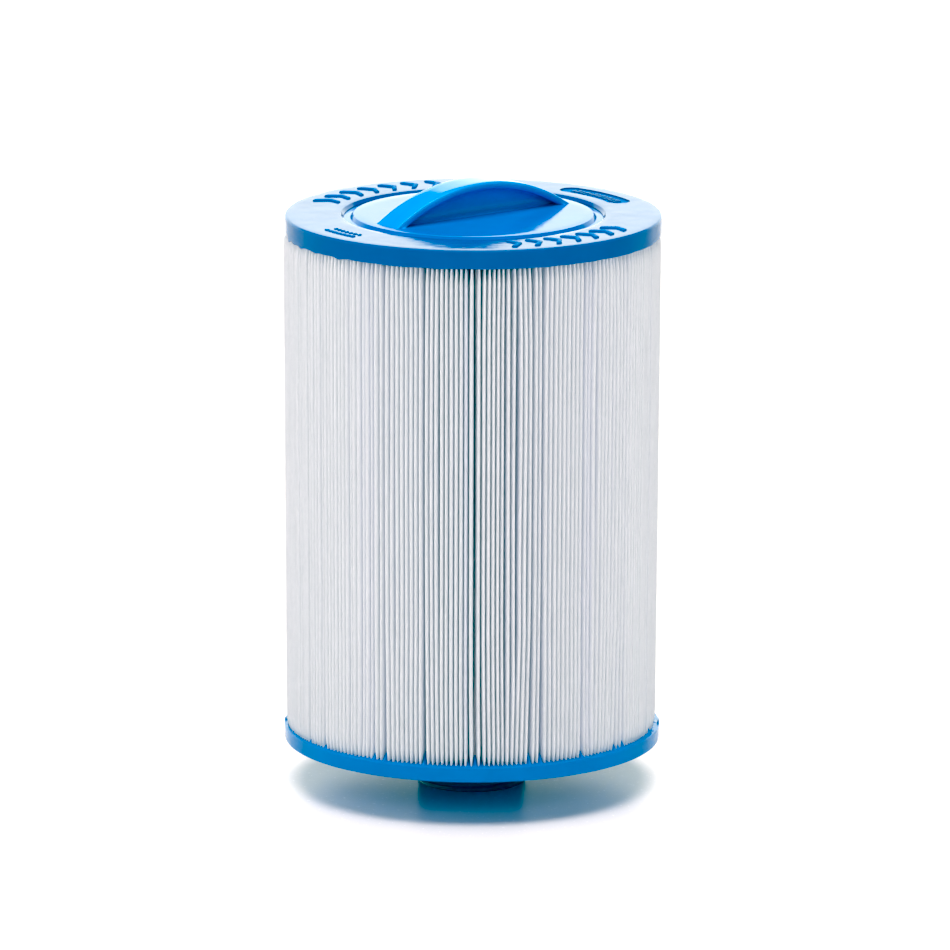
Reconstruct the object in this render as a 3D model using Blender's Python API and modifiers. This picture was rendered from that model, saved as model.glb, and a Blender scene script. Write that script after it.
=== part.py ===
"""Pleated filter cartridge with a carrying handle on top and a coarse threaded outlet below.

Seven pieces: two cast end caps, a handle plate, a threaded adapter, a perforated core tube, the pleated
media and the strip that closes the media's seam. Metres, +Z up. The origin is the centre of the threaded
stub's end face, and the handle runs along X.
"""

import math

import bmesh
import bpy
from mathutils import Matrix

# Overall sizes
CAP_RADIUS = 0.0750
BODY_LENGTH = 0.2138  # from the bottom cap's underside to the top cap's face
STUB_LENGTH = 0.0180

# End caps
TOP_CAP_HEIGHT = 0.0075
BOTTOM_CAP_HEIGHT = 0.0060
BOTTOM_CAP_EXTRA = 0.0003  # how much wider than the top cap, on the radius
CAP_WALL = 0.0027  # urethane outside the pleat pack
TOP_CAP_ROOF = 0.0035
BOTTOM_CAP_FLOOR = 0.0027
CAP_EDGE_RADIUS = 0.0009

# Pleated media
FLUTES = 74  # each stands for three folds of the sheet
PACK_INSET_TOP = 0.0006  # from the top cap's edge back to the folds
PACK_INSET_BOTTOM = 0.0021
FLUTE_DEPTH = 0.0070
FLUTE_LAND = 0.0022  # width of the flat between two valleys
FLUTE_RUNOUT = 0.0005  # how far the valleys run past the shoulders

# Seam strip
SEAM_ANGLE = math.radians(-127.0)
SEAM_THICKNESS = 0.0010
SEAM_INSET = 0.0035  # from the pleat tips back to the strip's outer edge

# Core tube
CORE_RADIUS = 0.0260
CORE_WALL = 0.0025
CORE_WINDOW_COLUMNS = 6
CORE_WINDOW_ROWS = 8
CORE_WINDOW_WIDTH = 0.0150
CORE_WINDOW_HEIGHT = 0.0160
CORE_END_BAND = 0.0150

# Handle plate
DISC_RADIUS = 0.0483
GROOVE_WIDTH = 0.0037
GROOVE_DEPTH = 0.0015
PLATE_RIM_WIDTH = 0.0040  # hidden under the cap's lip
PLATE_THICKNESS = 0.0035
HANDLE_END_INSET = 0.0047  # from the disc's edge back to the strap's end
HANDLE_HEIGHT = 0.0135
HANDLE_WIDTH = 0.0139
STRAP_THICKNESS = 0.0030
STRAP_EDGE_RADIUS = 0.0008
WEB_THICKNESS = 0.0034
SPIGOT_LENGTH = 0.0100
SPIGOT_WALL = 0.0030

# Recessed pad in the top cap
PAD_WIDTH = 0.0096
PAD_HALF_ANGLE = math.radians(13.5)
PAD_DEPTH = 0.0008

# Threaded adapter
BORE_RADIUS = 0.0165
STUB_WALL = 0.00405  # from the bore to the thread's root
THREAD_DEPTH = 0.0013
THREAD_PITCH = 0.0045
THREAD_CLEAR_END = 0.0022  # plain stub left at each end of the thread
STUB_CHAMFER = 0.0010
FLANGE_RADIUS = 0.0360  # face left bare inside the bottom cap
FLANGE_RIM_WIDTH = 0.0060  # hidden under the cap's lip
FLANGE_THICKNESS = 0.0027
FLANGE_LIP = 0.0010

# Fits
CLEARANCE = 0.0003
MERGE = 0.00001

# Facets
CAP_STEPS = 72
PLATE_STEPS = 64
CORE_STEPS = 36
STUB_STEPS = 40
MEDIA_STEPS = 72

# Radii and levels worked out from the sizes above
BOTTOM_CAP_RADIUS = CAP_RADIUS + BOTTOM_CAP_EXTRA
PACK_RADIUS_TOP = CAP_RADIUS - PACK_INSET_TOP
PACK_RADIUS_BOTTOM = BOTTOM_CAP_RADIUS - PACK_INSET_BOTTOM
BASE_LEVEL = STUB_LENGTH
TOP_LEVEL = BASE_LEVEL + BODY_LENGTH
FLANGE_TOP = BASE_LEVEL + FLANGE_THICKNESS
PLATE_BOTTOM = TOP_LEVEL - PLATE_THICKNESS
GROOVE_FLOOR = TOP_LEVEL - GROOVE_DEPTH
GROOVE_RADIUS = DISC_RADIUS + GROOVE_WIDTH
PLATE_RADIUS = GROOVE_RADIUS + PLATE_RIM_WIDTH
MEDIA_BOTTOM = max(FLANGE_TOP, BASE_LEVEL + BOTTOM_CAP_FLOOR) + CLEARANCE
MEDIA_TOP = min(PLATE_BOTTOM, TOP_LEVEL - TOP_CAP_ROOF) - CLEARANCE
MEDIA_NECK_RADIUS = CAP_RADIUS - CAP_WALL - CLEARANCE
MEDIA_BORE_RADIUS = CORE_RADIUS + CLEARANCE
CORE_BORE_RADIUS = CORE_RADIUS - CORE_WALL
CORE_BOTTOM = FLANGE_TOP + CLEARANCE
CORE_TOP = PLATE_BOTTOM - CLEARANCE
SPIGOT_RADIUS = CORE_BORE_RADIUS - CLEARANCE
HANDLE_HALF_LENGTH = DISC_RADIUS - HANDLE_END_INSET
PAD_RADIUS = (GROOVE_RADIUS + CAP_RADIUS) / 2
THREAD_ROOT_RADIUS = BORE_RADIUS + STUB_WALL
THREAD_CREST_RADIUS = THREAD_ROOT_RADIUS + THREAD_DEPTH


def clear_scene():
    for obj in list(bpy.data.objects):
        bpy.data.objects.remove(obj, do_unlink=True)


def make_collection(name):
    group = bpy.data.collections.new(name)
    bpy.context.scene.collection.children.link(group)
    return group


def make_material(name, colour, roughness, metallic=0.0):
    material = bpy.data.materials.new(name)
    material.use_nodes = True
    shader = material.node_tree.nodes["Principled BSDF"]
    shader.inputs["Base Color"].default_value = (*colour, 1.0)
    shader.inputs["Roughness"].default_value = roughness
    shader.inputs["Metallic"].default_value = metallic
    material.diffuse_color = (*colour, 1.0)
    return material


def add_object(name, mesh, group, material=None):
    obj = bpy.data.objects.new(name, mesh)
    group.objects.link(obj)
    if material:
        mesh.materials.clear()
        mesh.materials.append(material)
    return obj


def mark_cutter(obj):
    obj.hide_render = True
    obj.display_type = "WIRE"


def apply_modifiers(obj):
    """Replace the object's mesh by its evaluated mesh."""
    depsgraph = bpy.context.evaluated_depsgraph_get()
    baked = bpy.data.meshes.new_from_object(obj.evaluated_get(depsgraph))
    obj.modifiers.clear()
    obj.data = baked


def turned(name, profile, steps, group, material=None, closed=True):
    """Turn a (radius, height) profile about Z. It runs down its outer side; an open one ends on the axis."""
    mesh = bpy.data.meshes.new(name)
    points = [(radius, 0.0, height) for radius, height in profile]
    edges = [(i, i + 1) for i in range(len(points) - 1)]
    if closed:
        edges.append((len(points) - 1, 0))
    mesh.from_pydata(points, edges, [])
    obj = add_object(name, mesh, group, material)
    screw = obj.modifiers.new("Turn", "SCREW")
    screw.steps = screw.render_steps = steps
    screw.use_merge_vertices = True
    screw.merge_threshold = MERGE
    apply_modifiers(obj)
    weld(obj.data)
    return obj


def weld(mesh):
    """Join vertices that lie in one place, and face every face outwards."""
    shape = bmesh.new()
    shape.from_mesh(mesh)
    bmesh.ops.remove_doubles(shape, verts=shape.verts, dist=MERGE)
    bmesh.ops.recalc_face_normals(shape, faces=shape.faces)
    shape.to_mesh(mesh)
    shape.free()


def slab(name, loops, thickness, group, material=None):
    """A flat outline in X and Y, with holes where loops lie inside each other, thickened about z = 0."""
    curve = bpy.data.curves.new(name, "CURVE")
    curve.dimensions = "2D"
    curve.fill_mode = "BOTH"
    curve.extrude = thickness / 2
    for loop in loops:
        spline = curve.splines.new("POLY")
        spline.points.add(len(loop) - 1)
        for point, (x, y) in zip(spline.points, loop):
            point.co = (x, y, 0.0, 1.0)
        spline.use_cyclic_u = True
    return curve_to_mesh(name, curve, group, material)


def curve_to_mesh(name, curve, group, material=None):
    """Turn a curve into a welded mesh object."""
    guide = bpy.data.objects.new(name + "_guide", curve)
    group.objects.link(guide)
    depsgraph = bpy.context.evaluated_depsgraph_get()
    mesh = bpy.data.meshes.new_from_object(guide.evaluated_get(depsgraph))
    place = guide.matrix_world.copy()
    bpy.data.objects.remove(guide, do_unlink=True)
    weld(mesh)
    obj = add_object(name, mesh, group, material)
    obj.matrix_world = place
    return obj


def move_mesh(obj, matrix):
    obj.data.transform(matrix)
    obj.data.update()


def combine(obj, other, operation):
    """Boolean the other object into this one, apply it and drop the other."""
    boolean = obj.modifiers.new(operation.title(), "BOOLEAN")
    boolean.operation = operation
    boolean.solver = "EXACT"
    boolean.object = other
    apply_modifiers(obj)
    bpy.data.objects.remove(other, do_unlink=True)


def smooth(obj, angle=35.0):
    obj.data.shade_smooth()
    obj.data.set_sharp_from_angle(angle=math.radians(angle))


def arc(centre, radius, start, end, steps):
    """Points of an arc in a plane, from the start angle to the end angle in degrees."""
    angles = [math.radians(start + (end - start) * i / steps) for i in range(steps + 1)]
    return [(centre[0] + radius * math.cos(a), centre[1] + radius * math.sin(a)) for a in angles]


def make_top_end_cap(group, cutters, material):
    edge = CAP_EDGE_RADIUS
    bottom = TOP_LEVEL - TOP_CAP_HEIGHT
    lip_radius = PLATE_RADIUS + CLEARANCE
    channel_radius = MEDIA_NECK_RADIUS + CLEARANCE
    ceiling = MEDIA_TOP + CLEARANCE
    profile = list(reversed(arc((CAP_RADIUS - edge, TOP_LEVEL - edge), edge, 0, 90, 3)))
    profile += [
        (CAP_RADIUS, bottom),
        (channel_radius, bottom),
        (channel_radius, ceiling),
        (lip_radius, ceiling),
        (lip_radius, GROOVE_FLOOR + CLEARANCE),
        (GROOVE_RADIUS, GROOVE_FLOOR + CLEARANCE),
        (GROOVE_RADIUS, TOP_LEVEL),
    ]
    cap = turned("top_end_cap", profile, CAP_STEPS, group, material)

    half = PAD_WIDTH / 2
    sweep = math.degrees(PAD_HALF_ANGLE)
    far = (PAD_RADIUS * math.cos(PAD_HALF_ANGLE), PAD_RADIUS * math.sin(PAD_HALF_ANGLE))
    outline = arc((0, 0), PAD_RADIUS + half, -sweep, sweep, 10)
    outline += arc(far, half, sweep, sweep + 180, 8)[1:]
    outline += arc((0, 0), PAD_RADIUS - half, sweep, -sweep, 10)[1:]
    outline += arc((far[0], -far[1]), half, 180 - sweep, 360 - sweep, 8)[1:-1]
    pad = slab("pad_cutter", [outline], 2 * PAD_DEPTH, cutters)
    move_mesh(pad, Matrix.Translation((0, 0, TOP_LEVEL)))
    mark_cutter(pad)
    combine(cap, pad, "DIFFERENCE")
    smooth(cap)
    return cap


def make_bottom_end_cap(group, material):
    edge = CAP_EDGE_RADIUS
    top = BASE_LEVEL + BOTTOM_CAP_HEIGHT
    rim = FLANGE_RADIUS + FLANGE_RIM_WIDTH + CLEARANCE
    lip_top = BASE_LEVEL + FLANGE_LIP
    channel_radius = MEDIA_NECK_RADIUS + CLEARANCE
    floor = MEDIA_BOTTOM - CLEARANCE
    mouth = FLANGE_RADIUS + CLEARANCE
    profile = [(BOTTOM_CAP_RADIUS, top)]
    profile += list(reversed(arc((BOTTOM_CAP_RADIUS - edge, BASE_LEVEL + edge), edge, -90, 0, 3)))
    profile += [
        (mouth, BASE_LEVEL),
        (mouth, lip_top),
        (rim, lip_top),
        (rim, floor),
        (channel_radius, floor),
        (channel_radius, top),
    ]
    cap = turned("bottom_end_cap", profile, CAP_STEPS, group, material)
    smooth(cap)
    return cap


def make_handle_plate(group, material):
    spigot_end = PLATE_BOTTOM - SPIGOT_LENGTH
    profile = [
        (0.0, TOP_LEVEL),
        (DISC_RADIUS, TOP_LEVEL),
        (DISC_RADIUS, GROOVE_FLOOR),
        (PLATE_RADIUS, GROOVE_FLOOR),
        (PLATE_RADIUS, PLATE_BOTTOM),
        (SPIGOT_RADIUS, PLATE_BOTTOM),
        (SPIGOT_RADIUS, spigot_end),
        (SPIGOT_RADIUS - SPIGOT_WALL, spigot_end),
        (SPIGOT_RADIUS - SPIGOT_WALL, PLATE_BOTTOM),
        (0.0, PLATE_BOTTOM),
    ]
    plate = turned("handle_plate", profile, PLATE_STEPS, group, material, closed=False)

    # The strap is a slice of a ring whose chord is the handle's length
    radius = (HANDLE_HALF_LENGTH**2 + HANDLE_HEIGHT**2) / (2 * HANDLE_HEIGHT)
    inner = radius - STRAP_THICKNESS
    drop = radius - HANDLE_HEIGHT
    root = PLATE_THICKNESS / 2
    reach = math.degrees(math.acos((drop - root) / radius))
    inner_reach = math.degrees(math.acos((drop - root) / inner))
    centre = (0.0, -drop)
    outer_arc = arc(centre, radius, 90 - reach, 90 + reach, 32)
    inner_arc = arc(centre, inner, 90 + inner_reach, 90 - inner_reach, 28)
    strap = slab("strap", [outer_arc + inner_arc], HANDLE_WIDTH, group)
    bevel = strap.modifiers.new("Edges", "BEVEL")
    bevel.width = STRAP_EDGE_RADIUS
    bevel.segments = 2
    bevel.limit_method = "ANGLE"
    bevel.angle_limit = math.radians(60)
    apply_modifiers(strap)

    middle = inner + STRAP_THICKNESS / 2
    web_reach = math.degrees(math.acos((drop - root) / middle))
    web_arc = arc(centre, middle, 90 - web_reach, 90 + web_reach, 28)
    web = slab("web", [web_arc], WEB_THICKNESS, group)

    stand = Matrix.Translation((0, 0, TOP_LEVEL)) @ Matrix.Rotation(math.radians(90), 4, "X")
    for piece in (strap, web):
        move_mesh(piece, stand)
    combine(strap, web, "UNION")
    combine(plate, strap, "UNION")
    smooth(plate)
    return plate


def make_threaded_adapter(group, material):
    spigot_end = FLANGE_TOP + SPIGOT_LENGTH
    rim = FLANGE_RADIUS + FLANGE_RIM_WIDTH
    lip_top = BASE_LEVEL + FLANGE_LIP + CLEARANCE
    profile = [
        (SPIGOT_RADIUS, spigot_end),
        (SPIGOT_RADIUS, FLANGE_TOP),
        (rim, FLANGE_TOP),
        (rim, lip_top),
        (FLANGE_RADIUS, lip_top),
        (FLANGE_RADIUS, BASE_LEVEL),
        (THREAD_ROOT_RADIUS, BASE_LEVEL),
        (THREAD_ROOT_RADIUS, STUB_CHAMFER),
        (THREAD_ROOT_RADIUS - STUB_CHAMFER, 0.0),
        (BORE_RADIUS, 0.0),
        (BORE_RADIUS, FLANGE_TOP),
        (SPIGOT_RADIUS - SPIGOT_WALL, FLANGE_TOP + SPIGOT_WALL),
        (SPIGOT_RADIUS - SPIGOT_WALL, spigot_end),
    ]
    adapter = turned("threaded_adapter", profile, STUB_STEPS, group, material)

    # One helical ridge, tapering into the stub at both ends
    ridge = THREAD_DEPTH * 1.15
    turns = (STUB_LENGTH - 2 * THREAD_CLEAR_END - ridge) / THREAD_PITCH
    count = round(turns * 18)
    curve = bpy.data.curves.new("thread", "CURVE")
    curve.dimensions = "3D"
    curve.bevel_depth = ridge
    curve.bevel_resolution = 2
    curve.use_fill_caps = True
    spline = curve.splines.new("POLY")
    spline.points.add(count)
    centre_radius = THREAD_CREST_RADIUS - ridge
    for i, point in enumerate(spline.points):
        share = i / count
        angle = 2 * math.pi * turns * share
        fade = min(1.0, 8 * min(share, 1 - share) + 0.35)
        height = THREAD_CLEAR_END + ridge / 2 + THREAD_PITCH * turns * share
        reach = centre_radius - (1 - fade) * ridge
        point.co = (reach * math.cos(angle), reach * math.sin(angle), height, 1.0)
        point.radius = fade
    thread = curve_to_mesh("thread", curve, group)
    combine(adapter, thread, "UNION")
    smooth(adapter)
    return adapter


def make_core_tube(group, cutters, material):
    profile = [
        (CORE_RADIUS, CORE_TOP),
        (CORE_RADIUS, CORE_BOTTOM),
        (CORE_BORE_RADIUS, CORE_BOTTOM),
        (CORE_BORE_RADIUS, CORE_TOP),
    ]
    tube = turned("core_tube", profile, CORE_STEPS, group, material)

    span = CORE_TOP - CORE_BOTTOM - 2 * CORE_END_BAND
    pitch = span / CORE_WINDOW_ROWS
    height = min(CORE_WINDOW_HEIGHT, 0.8 * pitch)
    shape = bmesh.new()
    for row in range(CORE_WINDOW_ROWS):
        level = CORE_BOTTOM + CORE_END_BAND + (row + 0.5) * pitch
        for column in range(CORE_WINDOW_COLUMNS):
            turn = Matrix.Rotation(2 * math.pi * (column + 0.5) / CORE_WINDOW_COLUMNS, 4, "Z")
            place = turn @ Matrix.Translation((CORE_RADIUS - CORE_WALL / 2, 0, level))
            size = Matrix.Diagonal((4 * CORE_WALL, CORE_WINDOW_WIDTH, height, 1))
            bmesh.ops.create_cube(shape, size=1.0, matrix=place @ size)
    mesh = bpy.data.meshes.new("window_cutter")
    shape.to_mesh(mesh)
    shape.free()
    windows = add_object("window_cutter", mesh, cutters)
    mark_cutter(windows)
    combine(tube, windows, "DIFFERENCE")
    smooth(tube)
    return tube


def make_pleated_media(group, cutters, material):
    """The pleat pack: fluted between the caps, with a plain neck standing in each cap."""
    low = BASE_LEVEL + BOTTOM_CAP_HEIGHT + CLEARANCE
    high = TOP_LEVEL - TOP_CAP_HEIGHT - CLEARANCE
    profile = [
        (MEDIA_NECK_RADIUS, MEDIA_TOP),
        (MEDIA_NECK_RADIUS, high),
        (PACK_RADIUS_TOP, high),
        (PACK_RADIUS_BOTTOM, low),
        (MEDIA_NECK_RADIUS, low),
        (MEDIA_NECK_RADIUS, MEDIA_BOTTOM),
        (MEDIA_BORE_RADIUS, MEDIA_BOTTOM),
        (MEDIA_BORE_RADIUS, MEDIA_TOP),
    ]
    media = turned("pleated_media", profile, MEDIA_STEPS, group, material)

    # One wedge-shaped valley between two flutes, except where the seam is
    valley = PACK_RADIUS_BOTTOM - FLUTE_DEPTH
    mouth = PACK_RADIUS_TOP + FLUTE_DEPTH
    spread = math.pi * PACK_RADIUS_TOP / FLUTES - FLUTE_LAND / 2
    flare = spread * (mouth - valley) / (PACK_RADIUS_TOP - valley)
    height = high - low + 2 * FLUTE_RUNOUT
    wedge = slab("wedge", [[(valley, 0), (mouth, -flare), (mouth, flare)]], height, cutters)
    shape = bmesh.new()
    for i in range(1, FLUTES):
        start = len(shape.verts)
        shape.from_mesh(wedge.data)
        shape.verts.ensure_lookup_table()
        turn = Matrix.Rotation(SEAM_ANGLE + 2 * math.pi * i / FLUTES, 4, "Z")
        place = Matrix.Translation((0, 0, (low + high) / 2)) @ turn
        bmesh.ops.transform(shape, matrix=place, verts=shape.verts[start:])
    mesh = bpy.data.meshes.new("valley_cutter")
    shape.to_mesh(mesh)
    shape.free()
    bpy.data.objects.remove(wedge, do_unlink=True)
    valleys = add_object("valley_cutter", mesh, cutters)
    mark_cutter(valleys)
    combine(media, valleys, "DIFFERENCE")

    reach = 2 * FLUTE_RUNOUT
    slot = radial_block(
        "seam_slot_cutter",
        SEAM_THICKNESS + 2 * CLEARANCE,
        (CORE_BORE_RADIUS, mouth),
        (MEDIA_BOTTOM - reach, MEDIA_TOP + reach),
        cutters,
    )
    mark_cutter(slot)
    combine(media, slot, "DIFFERENCE")
    smooth(media, 20.0)
    return media


def make_media_seam(group, material):
    reach = (MEDIA_BORE_RADIUS, PACK_RADIUS_BOTTOM - SEAM_INSET)
    return radial_block("media_seam", SEAM_THICKNESS, reach, (MEDIA_BOTTOM, MEDIA_TOP), group, material)


def radial_block(name, thickness, radii, levels, group, material=None):
    """A flat block standing on the seam's radius, between two radii and two levels."""
    shape = bmesh.new()
    size = Matrix.Diagonal((radii[1] - radii[0], thickness, levels[1] - levels[0], 1))
    place = Matrix.Translation((sum(radii) / 2, 0, sum(levels) / 2))
    turn = Matrix.Rotation(SEAM_ANGLE, 4, "Z")
    bmesh.ops.create_cube(shape, size=1.0, matrix=turn @ place @ size)
    mesh = bpy.data.meshes.new(name)
    shape.to_mesh(mesh)
    shape.free()
    return add_object(name, mesh, group, material)


def main():
    clear_scene()
    parts = make_collection("filter_cartridge")
    cutters = make_collection("cutters")
    urethane = make_material("blue_urethane", (0.0, 0.23, 0.70), 0.22)
    moulded = make_material("blue_moulded_plastic", (0.0, 0.22, 0.72), 0.12)
    stub_plastic = make_material("dark_blue_plastic", (0.0, 0.02, 0.10), 0.35)
    polyester = make_material("white_polyester", (0.86, 0.88, 0.90), 0.80)
    core_plastic = make_material("white_core_plastic", (0.80, 0.81, 0.82), 0.45)
    glue = make_material("seam_glue", (0.55, 0.58, 0.60), 0.50)

    make_top_end_cap(parts, cutters, urethane)
    make_handle_plate(parts, moulded)
    make_pleated_media(parts, cutters, polyester)
    make_core_tube(parts, cutters, core_plastic)
    make_bottom_end_cap(parts, urethane)
    make_threaded_adapter(parts, stub_plastic)
    make_media_seam(parts, glue)


main()
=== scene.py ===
import math

import bmesh
import bpy
import numpy as np
from mathutils import Matrix, Vector


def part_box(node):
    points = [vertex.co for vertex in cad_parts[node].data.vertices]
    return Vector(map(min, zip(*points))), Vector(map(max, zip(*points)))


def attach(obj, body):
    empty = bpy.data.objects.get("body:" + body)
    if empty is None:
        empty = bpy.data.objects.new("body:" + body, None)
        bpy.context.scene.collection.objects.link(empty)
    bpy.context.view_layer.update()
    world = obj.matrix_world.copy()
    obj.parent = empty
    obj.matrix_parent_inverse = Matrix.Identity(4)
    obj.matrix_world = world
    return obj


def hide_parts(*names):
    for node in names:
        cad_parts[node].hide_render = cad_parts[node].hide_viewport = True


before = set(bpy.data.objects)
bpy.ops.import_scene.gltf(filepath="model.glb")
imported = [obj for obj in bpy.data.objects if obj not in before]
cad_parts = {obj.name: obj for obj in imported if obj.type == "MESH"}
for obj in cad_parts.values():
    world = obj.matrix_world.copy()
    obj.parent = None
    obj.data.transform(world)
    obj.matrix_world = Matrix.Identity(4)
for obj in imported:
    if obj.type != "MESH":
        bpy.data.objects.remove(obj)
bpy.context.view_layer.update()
print("frame loaded:", sorted(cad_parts))

mm = 0.001
tau = 2 * math.pi

# levels and radii come from the CAD nodes
topCapLow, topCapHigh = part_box("top_end_cap")
bottomCapLow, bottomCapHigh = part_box("bottom_end_cap")
plateLow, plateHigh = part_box("handle_plate")
mediaLow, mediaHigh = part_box("pleated_media")
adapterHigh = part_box("threaded_adapter")[1]
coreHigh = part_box("core_tube")[1]
topLevel = topCapHigh.z
baseLevel = bottomCapLow.z
capRadius = topCapHigh.x
bottomRadius = bottomCapHigh.x
coreRadius = coreHigh.x

scene = bpy.context.scene


# small mesh tools
def gridMesh(name, grid, closeRows=True):
    # grid is rows x columns x 3, columns always wrap round; open rows get flat end faces
    grid = np.asarray(grid, float)
    rows, cols = grid.shape[:2]
    index = np.arange(rows * cols).reshape(rows, cols)
    right = np.roll(index, -1, axis=1)
    if closeRows:
        above, aboveRight = np.roll(index, -1, axis=0), np.roll(right, -1, axis=0)
    else:
        above, aboveRight = index[1:], right[1:]
        index, right = index[:-1], right[:-1]
    quads = np.stack([index, right, aboveRight, above], -1).reshape(-1, 4)
    faces = quads.tolist()
    if not closeRows:
        faces.append(list(range(cols))[::-1])
        faces.append(list(range((rows - 1) * cols, rows * cols)))
    mesh = bpy.data.meshes.new(name)
    mesh.from_pydata(grid.reshape(-1, 3).tolist(), [], faces)
    a, b, c, d = (grid.reshape(-1, 3)[quads[:, i]] for i in range(4))
    volume = (a * np.cross(b, c)).sum() + (a * np.cross(c, d)).sum()
    if volume < 0:  # inside out
        mesh.flip_normals()
    mesh.update()
    obj = bpy.data.objects.new(name, mesh)
    scene.collection.objects.link(obj)
    return obj


def latheMesh(name, profile, steps, closeRows=True, bend=None):
    # profile is a list of (radius, height); bend may move each point by its angle
    turn = np.arange(steps) * tau / steps
    rows = []
    for number, (radius, height) in enumerate(profile):
        r, z = np.full(steps, radius), np.full(steps, height)
        if bend:
            r, z = bend(number, r, z, turn)
        rows.append(np.stack([r * np.cos(turn), r * np.sin(turn), z], -1))
    return gridMesh(name, rows, closeRows)


def arcPoints(centre, radius, start, end, steps):
    angles = np.radians(np.linspace(start, end, steps + 1))
    return [(centre[0] + radius * math.cos(a), centre[1] + radius * math.sin(a)) for a in angles]


def between(start, end, steps):
    # points from start to end, without the first
    first = np.array(start)
    run = np.array(end) - first
    return [tuple(first + run * i / steps) for i in range(1, steps + 1)]


def smoothStep(low, high, x):
    t = np.clip((np.asarray(x, float) - low) / (high - low), 0, 1)
    return t * t * (3 - 2 * t)


def ringNoise(turn, seed, waves):
    # smooth noise round a circle, about -1 to 1
    draw = np.random.default_rng(seed)
    total = np.zeros_like(turn)
    for wave in waves:
        total += draw.normal() * np.cos(wave * turn + draw.uniform(0, tau))
    return total / math.sqrt(len(waves))


def degreesFrom(turn, place):
    # how far round each turn is from a place given in degrees
    return np.degrees((turn - math.radians(place) + math.pi) % tau - math.pi)


def shadeSmooth(obj, angle):
    obj.data.shade_smooth()
    obj.data.set_sharp_from_angle(angle=math.radians(angle))


def finishPiece(obj, material, slotName, *nodes):
    obj.data.materials.clear()
    obj.data.materials.append(material)
    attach(obj, "root")
    if nodes:
        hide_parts(*nodes)


def bakedMesh(obj):
    graph = bpy.context.evaluated_depsgraph_get()
    return bpy.data.meshes.new_from_object(obj.evaluated_get(graph))


def cutAway(obj, other):
    cut = obj.modifiers.new("cut", "BOOLEAN")
    cut.operation, cut.solver, cut.object = "DIFFERENCE", "EXACT", other
    mesh = bakedMesh(obj)
    obj.modifiers.clear()
    obj.data = mesh
    bpy.data.objects.remove(other, do_unlink=True)


# finishes
def newMaterial(name, settings):
    material = bpy.data.materials.new(name)
    material.use_nodes = True
    shader = material.node_tree.nodes["Principled BSDF"]
    for socket, value in settings.items():
        shader.inputs[socket].default_value = value
    return material, material.node_tree, shader


def addNode(tree, kind, **inputs):
    node = tree.nodes.new(kind)
    for name, value in inputs.items():
        node.inputs[name].default_value = value
    return node


def noiseNode(tree, coords, scale, detail=3.0, roughness=0.55, stretch=None):
    noise = addNode(tree, "ShaderNodeTexNoise", Scale=scale, Detail=detail, Roughness=roughness)
    source = coords.outputs["Object"]
    if stretch:
        mapping = tree.nodes.new("ShaderNodeMapping")
        mapping.inputs["Scale"].default_value = stretch
        tree.links.new(source, mapping.inputs["Vector"])
        source = mapping.outputs["Vector"]
    tree.links.new(source, noise.inputs["Vector"])
    return noise


def rampNode(tree, source, stops):
    ramp = tree.nodes.new("ShaderNodeValToRGB")
    while len(ramp.color_ramp.elements) < len(stops):
        ramp.color_ramp.elements.new(0.5)
    for element, (place, colour) in zip(ramp.color_ramp.elements, stops):
        element.position = place
        element.color = (*colour, 1.0) if len(colour) == 3 else colour
    tree.links.new(source, ramp.inputs["Fac"])
    return ramp


def rangeNode(tree, source, fromLow, fromHigh, toLow, toHigh):
    node = tree.nodes.new("ShaderNodeMapRange")
    sockets = ("From Min", "From Max", "To Min", "To Max")
    for name, value in zip(sockets, (fromLow, fromHigh, toLow, toHigh)):
        node.inputs[name].default_value = value
    tree.links.new(source, node.inputs["Value"])
    return node


def bumpChain(tree, shader, layers):
    # layers are (height output, strength, distance)
    last = None
    for height, strength, distance in layers:
        bump = addNode(tree, "ShaderNodeBump", Strength=strength, Distance=distance)
        tree.links.new(height, bump.inputs["Height"])
        if last:
            tree.links.new(last.outputs["Normal"], bump.inputs["Normal"])
        last = bump
    tree.links.new(last.outputs["Normal"], shader.inputs["Normal"])


# deep and pale colours, roughness, and the heights of the slow waves and the fine grain in metres
blueFinish = {
    # painted shade: the top cap is the same cast urethane as the bottom cap, given a darker copy that stands
    # in for less light on its band
    "shadedTopUrethane": {
        "deep": (0.0, 0.096, 0.338),
        "pale": (0.0, 0.116, 0.386),
        "rough": (0.05, 0.12),
        "ior": 1.21,
        "bumps": (0.00018, 0.000006),
    },
    # painted light: the bottom cap's copy of the urethane is lighter, standing in for light bounced up from
    # the floor onto the lower band
    "litLowUrethane": {
        "deep": (0.0, 0.175, 0.530),
        "pale": (0.0, 0.205, 0.600),
        "rough": (0.06, 0.14),
        "ior": 1.21,
        "bumps": (0.00010, 0.000004),
    },
    "moulded": {
        "deep": (0.0, 0.148, 0.490),
        "pale": (0.0, 0.176, 0.570),
        "rough": (0.05, 0.14),
        "ior": 1.215,
        "bumps": (0.00006, 0.000004),
    },
    # painted light: the arch is moulded with the plate, given a lighter copy of the plate's blue that stands
    # in for light on the strap and web
    "litArch": {
        "deep": (0.0, 0.265, 0.715),
        "pale": (0.0, 0.318, 0.815),
        "rough": (0.05, 0.14),
        "ior": 1.25,
        "bumps": (0.00006, 0.000004),
    },
    "relief": {
        "deep": (0.0, 0.145, 0.440),
        "pale": (0.0, 0.180, 0.530),
        "rough": (0.40, 0.60),
        "ior": 1.12,
        "bumps": (0.00003, 0.000010),
    },
    "adapter": {
        "deep": (0.0, 0.090, 0.190),
        "pale": (0.0, 0.120, 0.260),
        "rough": (0.18, 0.38),
        "ior": 1.30,
        "bumps": (0.00004, 0.000010),
    },
}
blueScale = {"cloud": 38, "rub": 260, "waves": 70, "grain": 2600}


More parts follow.
